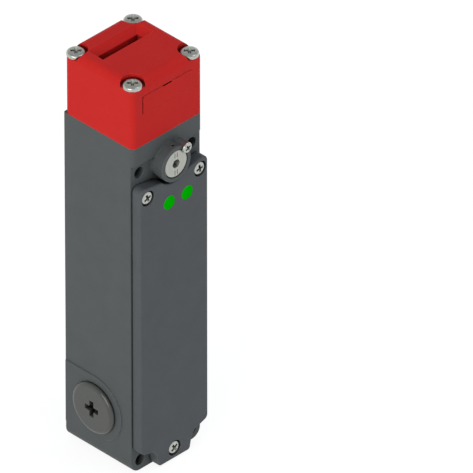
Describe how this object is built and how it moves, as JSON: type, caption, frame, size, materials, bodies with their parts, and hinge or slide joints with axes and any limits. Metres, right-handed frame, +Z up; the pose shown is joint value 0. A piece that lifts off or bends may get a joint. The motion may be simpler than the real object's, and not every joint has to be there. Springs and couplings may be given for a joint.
{
  "type": "solenoid interlock switch",
  "caption": "Tall square metal guard-locking switch with a red key-operated head, a front cover, a manual release dial, a solenoid and a contact block.",
  "frame": {"origin": "centre of the four fixing holes, on the flat back face", "axes": "+X to the right seen from the front, +Y out of the back face, +Z up along the long side, towards the key head"},
  "size_m": [0.045, 0.047, 0.1944],
  "materials": {
    "grey_housing": "matte powder coat on die-cast alloy, fine grain",
    "grey_cover": "matte powder coat on die-cast alloy, fine grain",
    "red_head": "satin red powder coat on die-cast alloy",
    "red_plug": "moulded red nylon",
    "grey_plug": "moulded warm grey nylon",
    "black_seal": "black nitrile rubber",
    "zinc_screw": "zinc-plated steel",
    "nickel_dial": "turned and nickel-plated steel",
    "green_lens": "clear-tinted moulded lens",
    "steel_part": "bare turned or stamped steel",
    "rotor_metal": "sintered steel",
    "carrier_plastic": "moulded black nylon",
    "coil_copper": "enamelled copper wire",
    "bobbin_plastic": "moulded natural nylon",
    "contact_brass": "stamped brass",
    "slider_plastic": "moulded white acetal",
    "block_plastic": "moulded grey-black thermoset",
    "circuit_board": "green glass-fibre board"
  },
  "bodies": {
    "housing": {"housing_body": "grey_housing", "housing_foot": "grey_housing", "front_cover": "grey_cover", "cover_gasket": "black_seal", "cover_screws": "zinc_screw", "actuator_head": "red_head", "head_gasket": "black_seal", "head_screws": "zinc_screw", "front_slot_plug": "red_plug", "conduit_plug_left": "grey_plug", "conduit_plug_right": "grey_plug", "plug_seals": "black_seal", "led_window_left": "green_lens", "led_window_right": "green_lens", "release_seal": "black_seal", "release_lock_screw": "zinc_screw", "rotor_shaft": "steel_part", "mechanism_carrier": "carrier_plastic", "lever_pin": "steel_part", "solenoid_frame": "steel_part", "solenoid_screws": "zinc_screw", "coil_bobbin": "bobbin_plastic", "coil_winding": "coil_copper", "pole_piece": "steel_part", "armature_spring": "steel_part", "contact_block": "block_plastic", "block_screws": "zinc_screw", "fixed_contacts": "contact_brass", "terminal_screws": "zinc_screw", "contact_return_spring": "steel_part", "led_board": "circuit_board", "board_leds": "green_lens", "board_screws": "zinc_screw", "earth_screw": "zinc_screw"},
    "rotor": {"key_rotor": "rotor_metal"},
    "plunger": {"head_plunger": "steel_part", "switch_rod": "steel_part", "contact_slider": "slider_plastic", "bridge_contacts": "contact_brass"},
    "lever": {"lock_lever": "steel_part", "link_pin": "steel_part"},
    "plunger_core": {"armature": "steel_part"},
    "dial": {"release_dial": "nickel_dial", "release_pin": "steel_part", "release_clip": "steel_part"}
  },
  "joints": [
    {"name": "rotor_turn", "type": "hinge", "parent": "housing", "child": "rotor", "pos_m": [0, -0.0202, 0.0983], "axis": [-1, 0, 0], "range_deg": [0, 55]},
    {"name": "plunger_slide", "type": "slide", "parent": "housing", "child": "plunger", "axis": [0, 0, 1], "range_m": [0, 0.005], "deforming": ["contact_return_spring"]},
    {"name": "armature_slide", "type": "slide", "parent": "housing", "child": "plunger_core", "axis": [0, 0, -1], "range_m": [0, 0.00287], "stiffness_N_per_m": 300, "springref_m": -0.004, "deforming": ["armature_spring"]},
    {"name": "lever_swing", "type": "hinge", "parent": "housing", "child": "lever", "pos_m": [0, -0.0295, 0.0663], "axis": [-1, 0, 0], "range_deg": [0, 18]},
    {"name": "release_turn", "type": "hinge", "parent": "housing", "child": "dial", "pos_m": [0, -0.04, 0.0721], "axis": [0, 1, 0], "range_deg": [0, 90]}
  ],
  "couplings": [
    {"joint": "rotor_turn", "follows": "plunger_slide", "rad_per_m": 191.98},
    {"joint": "lever_swing", "follows": "armature_slide", "rad_per_m": 109.27}
  ]
}
